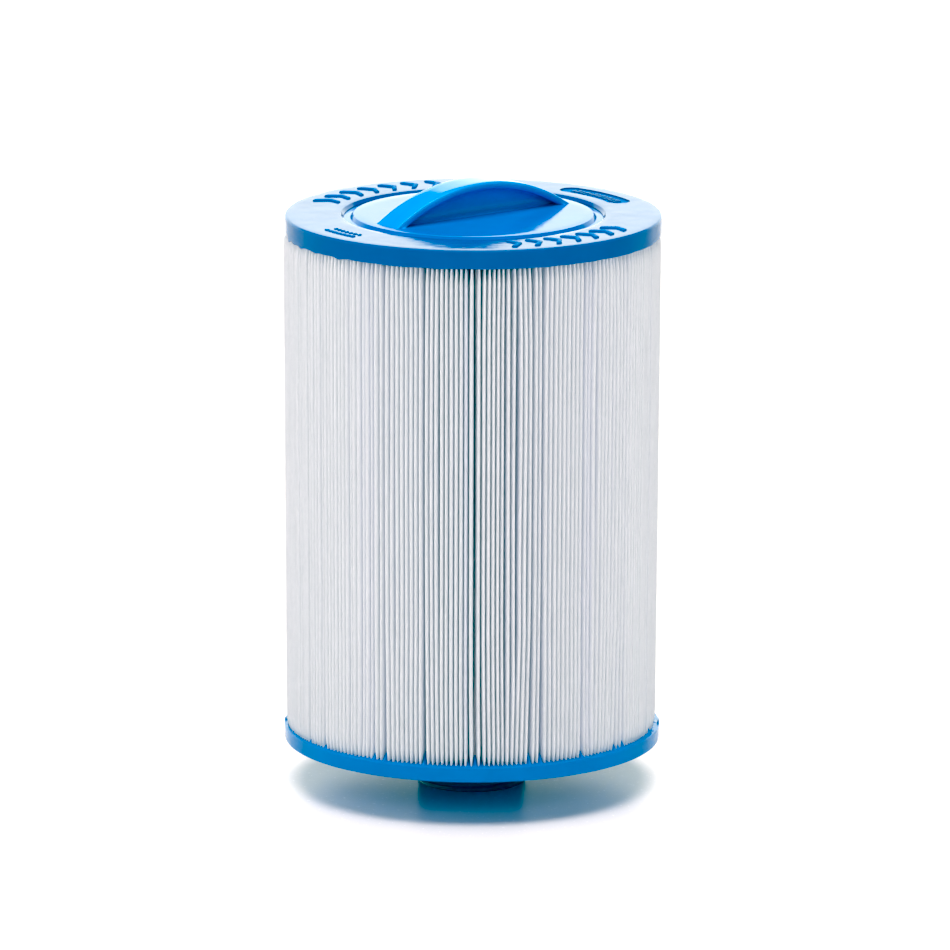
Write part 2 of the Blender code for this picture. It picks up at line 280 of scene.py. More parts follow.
def makeBlue(kind):
    look = blueFinish[kind]
    material, tree, shader = newMaterial(kind + "Blue", {"IOR": look["ior"], "Metallic": 0.0})
    coords = tree.nodes.new("ShaderNodeTexCoord")
    cloud = noiseNode(tree, coords, blueScale["cloud"], 4.0)
    colour = rampNode(tree, cloud.outputs["Fac"], [(0.32, look["deep"]), (0.68, look["pale"])])
    tree.links.new(colour.outputs["Color"], shader.inputs["Base Color"])
    rub = noiseNode(tree, coords, blueScale["rub"], 5.0, 0.62)
    rough = rangeNode(tree, rub.outputs["Fac"], 0.35, 0.72, *look["rough"])
    tree.links.new(rough.outputs["Result"], shader.inputs["Roughness"])
    waves = noiseNode(tree, coords, blueScale["waves"], 2.0)
    grain = noiseNode(tree, coords, blueScale["grain"], 2.0)
    waveHeight, grainHeight = look["bumps"]
    layers = [(waves.outputs["Fac"], 1.0, waveHeight), (grain.outputs["Fac"], 1.0, grainHeight)]
    bumpChain(tree, shader, layers)
    return material


sheetFinish = {
    "face": (0.835, 0.845, 0.870),
    "shade": (0.788, 0.798, 0.826),
    "depth": (0.790, 0.790, 0.900),  # painted shade, bluish grey, deep between the pleats
    "paintedShadeStart": 71.2 * mm,
    "paintedShadeEnd": 74.1 * mm,
    "lean": 0.0055,  # the folds stand in this much for each metre down
    "fibreScale": 900,
    "fibreHeight": 0.00006,
    "fuzzScale": 3200,
    "fuzzHeight": 0.00002,
}


def makePolyester():
    s = sheetFinish
    cloth = {"Roughness": 0.82, "IOR": 1.35, "Sheen Weight": 0.08}
    material, tree, shader = newMaterial("spunPolyester", cloth)
    coords = tree.nodes.new("ShaderNodeTexCoord")
    fibres = noiseNode(tree, coords, s["fibreScale"], 6.0, 0.7, (1.0, 1.0, 0.35))
    mottled = rampNode(tree, fibres.outputs["Fac"], [(0.30, s["shade"]), (0.62, s["face"])])
    # painted shade: the sheet darkens with distance from the axis towards the core, standing in for the shade
    # deep between the pleats
    flat = tree.nodes.new("ShaderNodeVectorMath")
    flat.operation = "MULTIPLY"
    flat.inputs[1].default_value = (1.0, 1.0, 0.0)
    tree.links.new(coords.outputs["Object"], flat.inputs[0])
    length = tree.nodes.new("ShaderNodeVectorMath")
    length.operation = "LENGTH"
    tree.links.new(flat.outputs["Vector"], length.inputs[0])
    parts = tree.nodes.new("ShaderNodeSeparateXYZ")
    tree.links.new(coords.outputs["Object"], parts.inputs["Vector"])
    drop = tree.nodes.new("ShaderNodeMath")
    drop.operation = "MULTIPLY_ADD"
    drop.inputs[1].default_value = -s["lean"]
    tree.links.new(parts.outputs["Z"], drop.inputs[0])
    tree.links.new(length.outputs["Value"], drop.inputs[2])
    shift = s["lean"] * topCapLow.z
    start, end = s["paintedShadeStart"] - shift, s["paintedShadeEnd"] - shift
    # painted shade mask: 0 deep between the pleats, 1 at the fold tips
    near = rangeNode(tree, drop.outputs["Value"], start, end, 0.0, 1.0)
    paintedShadeMix = tree.nodes.new("ShaderNodeMix")
    paintedShadeMix.data_type = "RGBA"
    tree.links.new(near.outputs["Result"], paintedShadeMix.inputs["Factor"])
    paintedShadeMix.inputs["A"].default_value = (*s["depth"], 1.0)
    tree.links.new(mottled.outputs["Color"], paintedShadeMix.inputs["B"])
    tree.links.new(paintedShadeMix.outputs["Result"], shader.inputs["Base Color"])
    fuzz = noiseNode(tree, coords, s["fuzzScale"], 4.0, 0.7)
    layers = [(fibres.outputs["Fac"], 0.6, s["fibreHeight"]), (fuzz.outputs["Fac"], 0.5, s["fuzzHeight"])]
    bumpChain(tree, shader, layers)
    return material


paleFinish = {
    "coreWhite": {
        "deep": (0.70, 0.71, 0.72),
        "pale": (0.82, 0.83, 0.83),
        "rough": (0.35, 0.55),
        "scale": 60,
        "height": 0.00001,
    },
    "seamGlue": {
        "deep": (0.62, 0.56, 0.58),
        "pale": (0.74, 0.68, 0.69),
        "rough": (0.25, 0.50),
        "scale": 140,
        "height": 0.00003,
    },
}


def makePale(name):
    look = paleFinish[name]
    material, tree, shader = newMaterial(name, {"IOR": 1.45})
    coords = tree.nodes.new("ShaderNodeTexCoord")
    cloud = noiseNode(tree, coords, look["scale"], 4.0)
    colour = rampNode(tree, cloud.outputs["Fac"], [(0.35, look["deep"]), (0.65, look["pale"])])
    tree.links.new(colour.outputs["Color"], shader.inputs["Base Color"])
    rough = rangeNode(tree, cloud.outputs["Fac"], 0.3, 0.7, *look["rough"])
    tree.links.new(rough.outputs["Result"], shader.inputs["Roughness"])
    grain = noiseNode(tree, coords, look["scale"] * 12, 3.0)
    bumpChain(tree, shader, [(grain.outputs["Fac"], 0.8, look["height"])])
    return material


shadedTopUrethane = makeBlue("shadedTopUrethane")
litLowUrethane = makeBlue("litLowUrethane")
mouldedBlue = makeBlue("moulded")
litArchBlue = makeBlue("litArch")
reliefBlue = makeBlue("relief")
adapterBlue = makeBlue("adapter")
spunPolyester = makePolyester()
corePlastic = makePale("coreWhite")
seamGlue = makePale("seamGlue")
print("materials ready")


# top end cap: a cast ring with a recessed pad in its face
topCap = {
    "steps": 360,
    "edge": 0.9 * mm,
    "lowerEdge": 0.35 * mm,
    "grooveRadius": 52.0 * mm,
    "grooveEdge": 0.45 * mm,
    "grooveDraft": 0.45 * mm,
    "lipThickness": 1.2 * mm,
    "plateRadius": 56.3 * mm,
    "height": topCapHigh.z - topCapLow.z,
    "skirt": 3.0 * mm,  # flat width under the outer edge
    "underMiddle": 60.0 * mm,
    "underRise": 2.0 * mm,
    "lipWaver": 0.10 * mm,
    "sideWaver": 0.03 * mm,
    "drips": [  # angle in degrees, drop in mm
        (141, 0.9), (148, 0.5), (155, 1.1), (161, 0.4), (167, 0.7),
        (176, 0.4), (187, 0.7), (-58, 0.3), (30, 0.5),
    ],
    "dripSpread": 1.6,
    "padRadius": 63.5 * mm,
    "padHalfWidth": 4.8 * mm,
    "padHalfAngle": 13.5,
    "padDepth": 0.8 * mm,
    "padEdge": 0.35 * mm,
}


def makeTopCap():
    s = topCap
    low, underLip = topLevel - s["height"], topLevel - s["lipThickness"]
    edge, small, rim = s["edge"], s["lowerEdge"], s["grooveEdge"]
    groove, draft = s["grooveRadius"], s["grooveDraft"]
    profile = [(groove - draft, underLip)]
    profile += arcPoints((groove + draft + rim, topLevel - rim), rim, 165, 90, 4)
    profile += between(profile[-1], (capRadius - edge, topLevel), 8)
    profile += arcPoints((capRadius - edge, topLevel - edge), edge, 90, 0, 6)[1:]
    lowStart = len(profile)
    profile += between(profile[-1], (capRadius, low + small), 4)
    profile += arcPoints((capRadius - small, low + small), small, 0, -90, 3)[1:]
    lowEnd = len(profile)
    profile += [(capRadius - s["skirt"], low), (s["underMiddle"], low)]
    profile += [(s["plateRadius"], low + s["underRise"]), (s["plateRadius"], underLip)]

    def bend(number, r, z, turn):
        # the side wavers a little and urethane drips stand under its edge
        if lowStart <= number < lowEnd:
            share = min(1.0, (number - lowStart + 1) / 4)
            z = z + share * (s["lipWaver"] * ringNoise(turn, 3, range(9, 70, 5)))
            for place, drop in s["drips"]:
                z = z - share * drop * mm * np.exp(-((degreesFrom(turn, place) / s["dripSpread"]) ** 2))
            r = r + s["sideWaver"] * ringNoise(turn, 4, range(3, 40, 3))
        return r, z

    cap = latheMesh("topCap", profile, s["steps"], True, bend)
    cutAway(cap, padCutter())
    shadeSmooth(cap, 40)
    finishPiece(cap, shadedTopUrethane, "cap_urethane", "top_end_cap")


def flatShape(name, loops, depth, edge):
    # flat outlines thickened to both sides of z = 0, with rounded edges
    curve = bpy.data.curves.new(name, "CURVE")
    curve.dimensions, curve.fill_mode = "2D", "BOTH"
    curve.extrude = depth / 2 - edge
    curve.bevel_depth, curve.bevel_resolution = edge, 2
    curve.offset = -edge
    for loop in loops:
        spline = curve.splines.new("POLY")
        spline.points.add(len(loop) - 1)
        for point, (x, y) in zip(spline.points, loop):
            point.co = (x, y, 0.0, 1.0)
        spline.use_cyclic_u = True
    guide = bpy.data.objects.new(name, curve)
    scene.collection.objects.link(guide)
    mesh = bakedMesh(guide)
    bpy.data.objects.remove(guide, do_unlink=True)
    shape = bmesh.new()
    shape.from_mesh(mesh)
    bmesh.ops.remove_doubles(shape, verts=shape.verts, dist=1e-6)
    bmesh.ops.recalc_face_normals(shape, faces=shape.faces)
    shape.to_mesh(mesh)
    shape.free()
    obj = bpy.data.objects.new(name, mesh)
    scene.collection.objects.link(obj)
    return obj


def padOutline(inset=0.0):
    s = topCap
    half, sweep, radius = s["padHalfWidth"] - inset, s["padHalfAngle"], s["padRadius"]
    far = np.array([math.cos(math.radians(sweep)), math.sin(math.radians(sweep))]) * radius
    outline = arcPoints((0, 0), radius + half, -sweep, sweep, 24)
    outline += arcPoints(tuple(far), half, sweep, sweep + 180, 16)[1:]
    outline += arcPoints((0, 0), radius - half, sweep, -sweep, 24)[1:]
    return outline + arcPoints((far[0], -far[1]), half, 180 - sweep, 360 - sweep, 16)[1:-1]


def padCutter():
    s = topCap
    cutter = flatShape("padCutter", [padOutline()], 4 * s["padDepth"], s["padEdge"])
    cutter.data.transform(Matrix.Translation((0, 0, topLevel + s["padDepth"])))
    return cutter


# raised marks on the cap: chevrons along two arcs, dashes past one end of the handle, ribs in the pad
marks = {
    "height": 0.65 * mm,
    "sink": 0.5 * mm,
    "stroke": 2.3 * mm,
    "edge": 0.5 * mm,
    "arcRadius": 63.2 * mm,
    "frontArc": {"centre": -91.0, "count": 7, "pitch": 8.6 * mm, "lean": 1},
    "backArc": {"centre": 94.0, "count": 7, "pitch": 9.6 * mm, "lean": -1},
    "chevronHeight": 11.0 * mm,
    "chevronDepth": 3.2 * mm,
}
dashes = {
    "centre": 180.0,
    "radius": 65.0 * mm,
    "rows": [(-2.0 * mm, 1.1 * mm), (2.0 * mm, 2.1 * mm)],  # place across the arc, length of a dash
    "count": 7,
    "pitch": 2.6 * mm,
    "width": 1.5 * mm,
    "depth": 0.8 * mm,
    "edge": 0.3 * mm,
    "lift": 0.02 * mm,
}
padRibs = {
    "count": 13,
    "pitch": 2.3 * mm,
    "length": 1.0 * mm,
    "widths": (3.4 * mm, 4.6 * mm),  # by turns
    "depth": 0.9 * mm,
    "edge": 0.3 * mm,
    "lift": 0.2 * mm,
    "floorInset": 0.2 * mm,
    "floorDepth": 0.6 * mm,
    "floorEdge": 0.1 * mm,
    "floorSink": 0.2 * mm,
}


def alongArc(a, b, centre, radius):
    # a along the arc and b outwards, in metres, to x and y
    angle = math.radians(centre) + a / radius
    return ((radius + b) * math.cos(angle), (radius + b) * math.sin(angle))


def chevronLoop(a, centre, lean):
    s = marks
    half, depth, side = s["chevronHeight"] / 2, s["chevronDepth"] * lean, s["stroke"] / 2
    outer = [(a - side, half), (a + side, half), (a + depth + side, 0), (a + side, -half)]
    inner = [(a - side, -half), (a + depth - side, 0)]
    return [alongArc(x, y, centre, s["arcRadius"]) for x, y in outer + inner]


def barLoop(a, b, length, width, centre, radius):
    corners = [(a - length / 2, b - width / 2), (a + length / 2, b - width / 2)]
    corners += [(a + length / 2, b + width / 2), (a - length / 2, b + width / 2)]
    return [alongArc(x, y, centre, radius) for x, y in corners]


def finishMark(obj, lift, material):
    obj.data.transform(Matrix.Translation((0, 0, lift)))
    shadeSmooth(obj, 50)
    finishPiece(obj, material, "cap_urethane")


def makeMarks():
    s = marks
    loops = []
    for arc in (s["frontArc"], s["backArc"]):
        for i in range(arc["count"]):
            a = (i - (arc["count"] - 1) / 2) * arc["pitch"]
            loops.append(chevronLoop(a, arc["centre"], arc["lean"]))
    chevrons = flatShape("capMarks", loops, s["height"] + s["sink"], s["edge"])
    finishMark(chevrons, topLevel + (s["height"] - s["sink"]) / 2, reliefBlue)


def makeDashes():
    s = dashes
    loops = []
    for b, length in s["rows"]:
        for i in range(s["count"]):
            a = (i - s["count"] // 2) * s["pitch"]
            loops.append(barLoop(a, b, length, s["width"], s["centre"], s["radius"]))
    small = flatShape("capDashes", loops, s["depth"], s["edge"])
    finishMark(small, topLevel + s["lift"], reliefBlue)


def makePadRibs():
    s = padRibs
    padLevel = topLevel - topCap["padDepth"]
    floor = flatShape("padFloor", [padOutline(s["floorInset"])], s["floorDepth"], s["floorEdge"])
    finishMark(floor, padLevel - s["floorSink"], reliefBlue)
    loops = []
    for i in range(s["count"]):
        a = (i - s["count"] // 2) * s["pitch"]
        loops.append(barLoop(a, 0.0, s["length"], s["widths"][i % 2], 0.0, topCap["padRadius"]))
    raised = flatShape("padRibs", loops, s["depth"], s["edge"])
    finishMark(raised, padLevel + s["lift"], shadedTopUrethane)


makeTopCap()
makeMarks()
makeDashes()
makePadRibs()
print("top cap ready")


# handle plate: centre disc with an arched handle of T section
handle = {
    "discRadius": 48.3 * mm,
    "discEdge": 0.22 * mm,
    "discDraft": 0.50 * mm,
    "middle": 0.4 * mm,  # radius of the small flat face at the centre
    "grooveMiddle": 51.0 * mm,
    "grooveDepth": 1.5 * mm,
    "rimRadius": 56.0 * mm,
    "thickness": 3.5 * mm,
    "spigotRadius": 23.2 * mm,
    "spigotBore": 20.2 * mm,
    "spigotEnd": plateLow.z,
    "spigotEdge": 0.5 * mm,
    "halfLength": 43.6 * mm,
    "overrun": 2.6 * mm,  # how far the strap runs on into the disc
    "rise": plateHigh.z - topLevel,
    "width": 13.9 * mm,
    "strap": 3.0 * mm,
    "strapEdge": 1.1 * mm,
    "web": 3.4 * mm,
    "webFillet": 2.4 * mm,
    "footFlare": 0.8 * mm,
    "flareIn": 1.5 * mm,
    "flareOut": 1.2 * mm,
    "sink": 1.8 * mm,
    "stations": 121,
}


def makePlate():
    s = handle
    floor, under = topLevel - s["grooveDepth"], topLevel - s["thickness"]
    edge, rim = s["discEdge"], s["rimRadius"]
    spigot, bore, end = s["spigotRadius"], s["spigotBore"], s["spigotEnd"]
    profile = [(s["middle"], topLevel)]
    top = s["discRadius"] - s["discDraft"] - edge
    foot = s["discRadius"] + s["discDraft"] + edge
    profile += between(profile[0], (top, topLevel), 10)
    profile += arcPoints((top, topLevel - edge), edge, 90, 20, 4)[1:]
    profile += arcPoints((foot, floor + edge), edge, 200, 270, 4)
    profile += [(s["grooveMiddle"], floor), (rim, floor), (rim, under), (spigot, under)]
    profile += [(spigot, end + s["spigotEdge"]), (spigot - s["spigotEdge"], end)]
    profile += [(bore, end), (bore, under), (s["middle"], under)]
    plate = latheMesh("handlePlate", profile, 240, False)
    shadeSmooth(plate, 40)
    finishPiece(plate, mouldedBlue, "handle_plastic", "handle_plate")


def handleSection(u):
    # half outline in (v, z), from the foot of the web up to the crown of the strap
    s = handle
    radius = (s["halfLength"] ** 2 + s["rise"] ** 2) / (2 * s["rise"])
    drop = radius - s["rise"]
    sink = -s["sink"]
    top = math.sqrt(radius**2 - u * u) - drop
    bottom = math.sqrt((radius - s["strap"]) ** 2 - u * u) - drop
    sunk, standing = float(smoothStep(0.0, s["flareIn"], -bottom)), float(smoothStep(0.0, s["flareOut"], top))
    foot = sunk * s["footFlare"] * standing
    clear = max(bottom, 0.0)  # free height under the strap
    fillet = min(s["webFillet"], 0.45 * clear)
    bottom = max(bottom, sink + 0.1 * mm)
    web, half = s["web"] / 2, s["width"] / 2
    edge = min(s["strapEdge"], 0.4 * abs(top - bottom))
    points = [(web + fillet, sink), (web + fillet, -0.02 * mm * (fillet > 0) + min(0.0, bottom))]
    for a in (60, 30, 0):
        t = math.radians(a)
        level = fillet * (1 - math.sin(t)) if clear else min(0.0, bottom)
        points.append((web + fillet * (1 - math.cos(t)), level))
    for a in (0, 30, 60, 90):
        t = math.radians(a)
        points.append((web + fillet * (1 - math.cos(t)), bottom - fillet * (1 - math.sin(t))))
    points += [((web + half) / 2, bottom)]
    for a in (-90, -60, -30, 0):
        t = math.radians(a)
        points.append((half - edge * (1 - math.cos(t)) + foot, bottom + edge * (1 + math.sin(t))))
    if foot > 0:
        for a in (90, 65, 35, 0):
            t = math.radians(a)
            level = max(min(foot * (1 - math.sin(t)), top - 1.5 * edge), bottom + edge)
            points.append((half + foot * (1 - math.cos(t)), level))
    else:
        points += [(half, bottom + edge + (top - bottom - 2 * edge) * k / 6) for k in (1, 2, 3, 4)]
    for a in (0, 22, 45, 67, 90):
        t = math.radians(a)
        points.append((half - edge * (1 - math.cos(t)), top - edge * (1 - math.sin(t))))
    points += [(half * 0.5, top), (0.0, top)]
    return points


def makeHandle():
    s = handle
    reach = s["halfLength"] + s["overrun"]
    rows = []
    for u in np.linspace(-reach, reach, s["stations"]):
        side = handleSection(u)
        loop = side + [(-v, z) for v, z in side[-2::-1]]
        rows.append([(u, v, topLevel + z) for v, z in loop])
    grip = gridMesh("handleArch", rows, False)
    shadeSmooth(grip, 50)
    finishPiece(grip, litArchBlue, "handle_plastic")


makePlate()
makeHandle()
print("handle ready")


# pleated sheet: one sheet folded round the core, its ends meeting at the seam
pleats = {
    "count": 222,
    "seed": 11,
    "seamAngle": -127.0,
    "thickness": 0.34 * mm,
    "innerRadius": 26.9 * mm,
    "foldHalfWidth": 0.935 * mm,
    "plump": 0.05,
    "wallHalfWidth": 0.352 * mm,  # at the core
    "tipTop": 74.5 * mm,
    "tipBottom": 73.4 * mm,
    "stray": (0.225, 0.24),  # shares of the pitch that folds stand out of line, singly and in groups
    "wander": 0.10,
    "drift": 0.12,
    "leastGap": 0.07 * mm,
    "openShare": 0.14,  # share of the gaps that stand open
    "openGap": 1.5 * mm,
    "openMiddle": 0.4,  # what is left of an open gap half way up
    "openHigh": 0.6,
    "openFade": (70 * mm, 30 * mm),  # from the bottom cap up, from the top cap down
    "uneven": 0.16 * mm,
    "setBack": 1.3 * mm,  # some folds stand back from the rest
    "setBackShare": 0.08,
    "seamGap": 1.0 * mm,
    "besideSeam": 0.42 * mm,
    "lowPinch": 6.5 * mm,
    "highPinch": 8.0 * mm,
    "lowSqueeze": 0.34,
    "highSqueeze": 0.42,
    "endDrop": 0.5 * mm,
    "sway": 1.0 * mm,  # the pack stands out a little more on one side
    "swayAngle": 142.0,
    "proud": 0.7 * mm,  # how far past the top cap's edge a fold may stand
    "underCap": 0.35 * mm,  # the cap's skin over the folds' ends
    "rounds": 400,  # of pushing crowded folds apart
}

# along a fold, from the core out: a fixed radius or a distance back from the tip, and the share of its width
foldStations = [
    (58 * mm, None, 1.0),
    (None, 4.2 * mm, 1.0),
    (None, 1.9 * mm, 0.86),
    (None, 0.75 * mm, 0.65),
    (None, 0.16 * mm, 0.37),
]


def pleatLevels():
    low, high = mediaLow.z, mediaHigh.z
    bottomLip, topLip = bottomCapHigh.z, topCapLow.z
    near = [bottomLip + up * mm for up in (-0.6, 0.5, 1.6, 3.2, 6)]
    far = [topLip - down * mm for down in (6, 3, 1.2, -0.3)]
    middle = list(np.linspace(near[-1], far[0], 9)[1:-1])
    return np.array([low] + near + middle + far + [high])


def foldAngles(levels):
    # tip angle of each fold at each level, kept in order and apart
    s = pleats
    draw = np.random.default_rng(s["seed"])
    count, pitch = s["count"], tau / s["count"]
    base = math.radians(s["seamAngle"]) + (np.arange(count) + 0.5) * pitch
    loose = draw.normal(size=count)
    thrice = np.tile(draw.normal(size=count), 3)
    broad = np.convolve(thrice, np.hanning(9) / 2.0, "same")[count:2 * count]
    steady = s["stray"][0] * loose + s["stray"][1] * broad
    parted = draw.random(count) < s["openShare"]
    spare = draw.uniform(0.4, 1.0, count) * s["openGap"] * parted
    span = (levels - levels[0]) / (levels[-1] - levels[0])
    phase = draw.uniform(0, tau, count)
    rate = draw.uniform(1.5, 5.0, count)
    size = draw.normal(size=count)
    drift = draw.normal(size=count) * s["drift"]
    tips = []
    for t in span:
        offset = steady + s["wander"] * size * np.sin(phase + rate * t * 2.2) + drift * (t - 0.5)
        tips.append(base + pitch * offset)
    tips = np.array(tips)
    half = s["foldHalfWidth"] * (1 + s["plump"] * draw.normal(size=count).clip(-1.8, 1.8))
    spare[-1] = s["seamGap"]  # from the last fold round to the first
    spare[[-2, 0]] = s["besideSeam"]
    # the open gaps are widest where the caps hold the folds
    nearLow = 1 - smoothStep(0, s["openFade"][0], levels - bottomCapHigh.z)
    nearHigh = 1 - smoothStep(0, s["openFade"][1], topCapLow.z - levels)
    widen = s["openMiddle"] + (1 - s["openMiddle"]) * np.maximum(nearLow, s["openHigh"] * nearHigh)
    widen = np.where(np.arange(count) == count - 1, 1.0, widen[:, None])
    need = (half + np.roll(half, -1) + s["leastGap"] + spare * widen) / s["tipTop"]
    for _ in range(s["rounds"]):
        gap = np.roll(tips, -1, axis=1) - tips
        gap[:, -1] += tau
        short = np.clip(need - gap, 0, None) * 0.5
        tips -= short
        tips += np.roll(short, 1, axis=1)
    return base, tips, half


def makeSheet():
    s = pleats
    levels = pleatLevels()
    base, tips, halfWidth = foldAngles(levels)
    draw = np.random.default_rng(s["seed"] + 1)
    count, thick = s["count"], s["thickness"]
    stand = draw.normal(size=count) * s["uneven"]
    stand -= s["setBack"] * draw.uniform(0.4, 1.0, count) * (draw.random(count) < s["setBackShare"])
    inner = s["innerRadius"]
    valley = (base + np.roll(base, 1)) / 2
    valley[0] = base[0] - math.pi / count
    outside, inside = [], []
    for k, z in enumerate(levels):
        share = (z - bottomCapHigh.z) / (topCapLow.z - bottomCapHigh.z)
        atLow = 1 - float(smoothStep(-0.2 * mm, s["lowPinch"], z - bottomCapHigh.z))
        atHigh = 1 - float(smoothStep(-0.2 * mm, s["highPinch"], topCapLow.z - z))
        tip = s["tipBottom"] + (s["tipTop"] - s["tipBottom"]) * np.clip(share, 0, 1) + stand * (1 - atLow)
        tip = tip + s["sway"] * np.cos(base - math.radians(s["swayAngle"])).clip(0, 1) ** 2
        limit = capRadius + s["proud"] - (s["proud"] + s["underCap"]) * atHigh**4
        tip = np.minimum(tip - s["endDrop"] * atLow**2 - s["endDrop"] * atHigh**2, limit)
        half = halfWidth * (1 - s["lowSqueeze"] * atLow**1.5 - s["highSqueeze"] * atHigh)
        for skin, out in ((0.0, outside), (thick, inside)):
            top, fold, wall = tip - skin, half - skin, s["wallHalfWidth"] - skin
            row = np.zeros((count, 12, 2))  # angle and radius, from one valley over the tip
            row[:, 0, 0], row[:, 0, 1] = valley, inner + (thick if skin == 0 else 0.0)
            for j, (fixed, back, squeeze) in enumerate(foldStations, 1):
                r = np.full(count, fixed) if fixed else top - back
                reach = (r - inner) / (tip - inner)
                centre = base + (tips[k] - base) * reach
                width = wall + (fold - wall) * reach
                row[:, j, 0], row[:, j, 1] = centre - width * squeeze / r, r
                row[:, 12 - j, 0], row[:, 12 - j, 1] = centre + width * squeeze / r, r
            row[:, 6, 0], row[:, 6, 1] = tips[k], top
            flat = row.reshape(-1, 2)
            x, y = flat[:, 1] * np.cos(flat[:, 0]), flat[:, 1] * np.sin(flat[:, 0])
            out.append(np.stack([x, y, np.full(len(flat), z)], -1))
    grid = np.array(outside + inside[::-1])
    sheet = gridMesh("pleatedSheet", grid, True)
    sheet.data.shade_smooth()
    finishPiece(sheet, spunPolyester, "media_polyester", "pleated_media")
    return tips


foldTips = makeSheet()


# seam bead, down the wide gap between the first and last folds
seam = {
    "outer": 69.7 * mm,
    "inner": 58.0 * mm,
    "half": 0.34 * mm,
    "nose": (1.2 * mm, 0.3 * mm),
    "ends": 0.5 * mm,
    "waver": 0.5 * mm,
    "swell": 0.12,
    "rows": 60,
}


def makeSeam():
    s = seam
    draw = np.random.default_rng(5)
    levels = np.linspace(mediaLow.z + s["ends"], mediaHigh.z - s["ends"], s["rows"])
    swell = np.convolve(draw.normal(size=s["rows"] + 6), np.ones(7) / 3, "valid")
    angle = math.radians(pleats["seamAngle"])
    along = np.array([math.cos(angle), math.sin(angle)])
    across = np.array([-math.sin(angle), math.cos(angle)])
    rows = []
    for z, w in zip(levels, swell):
        outer, half = s["outer"] + s["waver"] * w, s["half"] * (1 + s["swell"] * w)
        side = [(s["inner"], 0.5 * half), (outer - s["nose"][0], half), (outer - s["nose"][1], 0.9 * half)]
        ring = [(a, -b) for a, b in side] + [(outer, 0)] + side[::-1]
        rows.append([(*(along * a + across * b), z) for a, b in ring])
    bead = gridMesh("seamBead", rows, False)
    shadeSmooth(bead, 60)
    finishPiece(bead, seamGlue, "seam_glue", "media_seam")


makeSeam()
print("seam ready")


# bottom end cap: a cast dish, its urethane climbing between the folds
bottomCap = {
    "steps": 1110,
    "edge": 0.9 * mm,
    "rimEdge": 0.4 * mm,
    "mouth": 36.3 * mm,
    "lip": 1.0 * mm,
    "flangeRadius": 42.3 * mm,
    "flangeTop": 3.0 * mm,
    "channel": 1.5 * mm,
    "channelMiddle": 50.0 * mm,
    "coreClear": 0.4 * mm,
    "slope": [  # radius in mm and share of the climb, from the rim in under the folds
        (74.3, 0.0), (73.7, 0.12), (73.0, 0.32), (72.2, 0.58),
        (71.2, 0.82), (70.0, 1.0), (67.0, 1.05),
    ],
    "climb": 0.6 * mm,
    "wideGap": 2.35 * mm,  # fold spacing above which the urethane climbs into the gap
    "climbGain": 8,
    "highestClimb": 4.5 * mm,
    "climbHalfWidth": 0.9 * mm,
    "tipLevel": 3,  # the fold level that the gaps are read at
    "rimWaver": 0.06 * mm,
    "flash": [(141.0, 1.2, 1.2), (-39.5, 1.6, 1.7)],  # angle, height in mm, half width in degrees
}


def gapSpikes(turn):
    # extra climb at each turn, a peak in the middle of every wide gap between folds
    s = bottomCap
    tips = np.sort(foldTips[s["tipLevel"]] % tau)
    gap = (np.roll(tips, -1) - tips) % tau
    middle = tips + gap / 2
    height = ((gap * bottomRadius - s["wideGap"]) * s["climbGain"]).clip(0, s["highestClimb"])
    rise = np.zeros_like(turn)
    for centre, tall in zip(middle[height > 0], height[height > 0]):
        away = np.abs((turn - centre + math.pi) % tau - math.pi) * bottomRadius
        rise = np.maximum(rise, tall * np.clip(1 - away / s["climbHalfWidth"], 0, 1))
    return rise


def makeBottomCap():
    s = bottomCap
    low, high = baseLevel, bottomCapHigh.z
    edge, rim, slope = s["edge"], s["rimEdge"], s["slope"]
    profile = [(s["mouth"], low)]
    profile += between(profile[0], (bottomRadius - edge, low), 4)
    profile += arcPoints((bottomRadius - edge, low + edge), edge, -90, 0, 6)[1:]
    profile += between(profile[-1], (bottomRadius, high - rim), 4)
    rimStart = len(profile)
    profile += arcPoints((bottomRadius - rim, high - rim), rim, 0, 90, 4)[1:]
    slopeStart = len(profile)
    profile += [(r * mm, high) for r, _ in slope]
    inner, filled, shelf = coreRadius + s["coreClear"], high + s["channel"], low + s["flangeTop"]
    profile += [(s["channelMiddle"], filled), (inner, filled), (inner, shelf), (s["flangeRadius"], shelf)]
    profile += [(s["flangeRadius"], low + s["lip"]), (s["mouth"], low + s["lip"])]

    spikes = gapSpikes(np.arange(s["steps"]) * tau / s["steps"])

    def bend(number, r, z, turn):
        # urethane climbs between the folds, and a little flash stands on the rim
        climb = s["climb"] * (0.9 + 0.3 * ringNoise(turn, 21, range(17, 160, 11))).clip(0.25, 1.8) + spikes
        if slopeStart <= number < slopeStart + len(slope):
            z = z + climb * slope[number - slopeStart][1]
        if rimStart - 1 <= number <= slopeStart:
            share = (number - rimStart + 2) / (slopeStart - rimStart + 2)
            lift = min(1.0, 1.4 * share) * (number < slopeStart)
            for place, height, width in s["flash"]:
                z = z + lift * height * mm * np.exp(-((degreesFrom(turn, place) / width) ** 4))
            z = z + s["rimWaver"] * ringNoise(turn, 23, range(11, 90, 7)) * share
        return r, z

    cap = latheMesh("bottomCap", profile, s["steps"], True, bend)
    shadeSmooth(cap, 50)
    finishPiece(cap, litLowUrethane, "cap_urethane", "bottom_end_cap")


makeBottomCap()
print("bottom cap ready")


